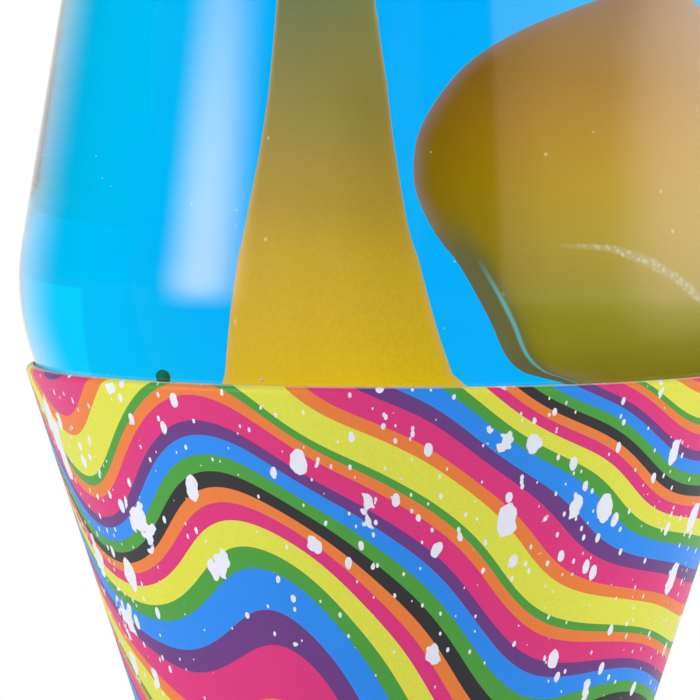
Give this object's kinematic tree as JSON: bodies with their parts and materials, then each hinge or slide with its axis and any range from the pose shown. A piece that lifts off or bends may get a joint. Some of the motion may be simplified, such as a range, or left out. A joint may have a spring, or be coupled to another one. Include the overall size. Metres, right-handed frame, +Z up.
{
  "type": "liquid motion lamp",
  "caption": "Table lamp with a tapered glass globe of blue liquid and moving yellow wax, on an hourglass base with a printed film, and a loose cap on top.",
  "frame": {"origin": "on the lamp's axis, at the level that the rubber feet stand on", "axes": "+Z up along the axis, the lead's gland on the +Y side, the free wax on the +X side"},
  "size_m": [0.0961, 0.0962, 0.368],
  "materials": {
    "spun_aluminium": "spun, satin",
    "printed_film": "printed film, satin",
    "globe_glass": "clear, polished",
    "blue_liquid": "clear blue fluid",
    "yellow_wax": "molten wax",
    "zinced_steel": "zinc plated",
    "rivet_aluminium": "plain",
    "white_ceramic": "glazed",
    "contact_brass": "plain",
    "bulb_glass": "clear",
    "bulb_cap_metal": "plain",
    "bulb_tip_solder": "solder",
    "bulb_insulator": "black vitrite",
    "filament_wire": "wire and glass stem",
    "coil_steel": "bright spring wire",
    "black_rubber": "matte",
    "black_nylon": "moulded",
    "crown_tinplate": "white lacquer",
    "crown_liner": "soft liner"
  },
  "bodies": {
    "base": {"upper_cone": "spun_aluminium", "lower_cone": "spun_aluminium", "upper_wrap": "printed_film", "lower_wrap": "printed_film", "cord_bush": "black_nylon", "base_plate": "zinced_steel", "plate_screws": "zinced_steel", "rubber_feet": "black_rubber", "waist_rivets": "rivet_aluminium", "holder_bracket": "zinced_steel", "lampholder": "white_ceramic", "holder_screws": "zinced_steel", "terminal_screws": "contact_brass", "screw_shell": "contact_brass", "centre_contact": "contact_brass"},
    "bulb": {"bulb_tip_contact": "bulb_tip_solder", "bulb_insulator": "bulb_insulator", "bulb_cap": "bulb_cap_metal", "bulb_glass": "bulb_glass", "filament": "filament_wire"},
    "globe": {"globe_bottle": "globe_glass", "crown_liner": "crown_liner", "crown_cap": "crown_tinplate", "heat_coil": "coil_steel", "wax_column": "yellow_wax", "liquid": "blue_liquid"},
    "free_wax": {"wax_blob": "yellow_wax"},
    "cap": {"top_cap": "spun_aluminium", "cap_wrap": "printed_film"}
  },
  "joints": [
    {"name": "globe_lift", "type": "slide", "parent": "base", "child": "globe", "axis": [0, 0, 1], "range_m": [0, 0.045]},
    {"name": "cap_lift", "type": "slide", "parent": "globe", "child": "cap", "axis": [0, 0, 1], "range_m": [0, 0.045]},
    {"name": "bulb_turn", "type": "hinge", "parent": "base", "child": "bulb", "pos_m": [0, 0, 0.055], "axis": [0, 0, 1], "range_deg": [0, 1080]},
    {"name": "wax_rise", "type": "slide", "parent": "globe", "child": "free_wax", "axis": [0, 0, 1], "range_m": [-0.006, 0.015], "deforming": ["liquid"]}
  ]
}
